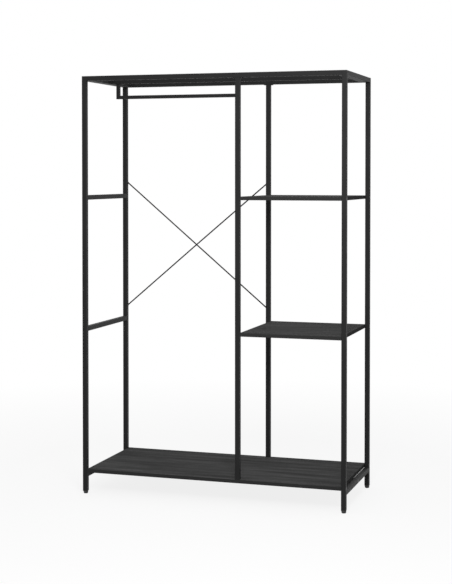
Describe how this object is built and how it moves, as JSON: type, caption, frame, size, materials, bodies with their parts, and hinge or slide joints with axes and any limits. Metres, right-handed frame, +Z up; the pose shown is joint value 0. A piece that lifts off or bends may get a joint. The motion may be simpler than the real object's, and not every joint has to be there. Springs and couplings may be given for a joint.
{
  "type": "coat rack with shoe shelf",
  "caption": "Open black steel coat rack with a hanging bay, side shelves, a shoe board along the bottom, a crossed rod brace and levelling feet.",
  "frame": {"origin": "on the floor, under the centre of the rack's bounding box", "axes": "+Z up, +X to the right as seen from the front, +Y towards the back"},
  "size_m": [1.16, 0.4912, 1.8],
  "materials": {
    "frame_steel": "satin black powder coat",
    "board_laminate": "black wood-grain laminate",
    "black_plastic": "moulded black plastic",
    "black_bolts": "black oxide",
    "zinc_steel": "zinc plate"
  },
  "bodies": {
    "rack": {"post_front_left": "frame_steel", "post_back_left": "frame_steel", "post_front_right": "frame_steel", "post_back_right": "frame_steel", "post_front_middle": "frame_steel", "post_back_middle": "frame_steel", "left_top_rail": "frame_steel", "left_upper_rung": "frame_steel", "left_lower_rung": "frame_steel", "left_bottom_rail": "frame_steel", "right_top_rail": "frame_steel", "right_bottom_rail": "frame_steel", "top_front_rail": "frame_steel", "top_centre_rail": "frame_steel", "top_back_rail": "frame_steel", "top_left_bar": "frame_steel", "top_right_bar": "frame_steel", "bottom_stretcher": "frame_steel", "hanging_rail": "frame_steel", "hanging_drop_left": "frame_steel", "hanging_drop_right": "frame_steel", "brace_rod_rising": "frame_steel", "brace_rod_falling": "frame_steel", "bottom_board": "board_laminate", "lower_shelf": "board_laminate", "upper_shelf": "board_laminate", "foot_inserts": "black_plastic", "post_caps": "black_plastic", "top_frame_bolts": "black_bolts", "stretcher_bolts": "black_bolts", "middle_post_top_bolts": "black_bolts", "middle_post_base_bolts": "black_bolts", "hanging_rail_bolts": "black_bolts", "bottom_board_bolts": "black_bolts", "upper_shelf_bolts": "black_bolts", "lower_shelf_bolts": "black_bolts", "brace_screws": "black_bolts", "tube_plugs": "zinc_steel", "stretcher_plugs": "zinc_steel", "drop_plugs": "zinc_steel", "rivet_nuts": "zinc_steel", "board_inserts": "zinc_steel"},
    "foot_front_left": {"foot_pad_front_left": "black_plastic", "foot_stud_front_left": "zinc_steel"},
    "foot_front_right": {"foot_pad_front_right": "black_plastic", "foot_stud_front_right": "zinc_steel"},
    "foot_back_left": {"foot_pad_back_left": "black_plastic", "foot_stud_back_left": "zinc_steel"},
    "foot_back_right": {"foot_pad_back_right": "black_plastic", "foot_stud_back_right": "zinc_steel"}
  },
  "joints": [
    {"name": "level_front_left", "type": "slide", "parent": "rack", "child": "foot_front_left", "axis": [0, 0, -1], "range_m": [0, 0.01]},
    {"name": "level_front_right", "type": "slide", "parent": "rack", "child": "foot_front_right", "axis": [0, 0, -1], "range_m": [0, 0.01]},
    {"name": "level_back_left", "type": "slide", "parent": "rack", "child": "foot_back_left", "axis": [0, 0, -1], "range_m": [0, 0.01]},
    {"name": "level_back_right", "type": "slide", "parent": "rack", "child": "foot_back_right", "axis": [0, 0, -1], "range_m": [0, 0.01]}
  ]
}
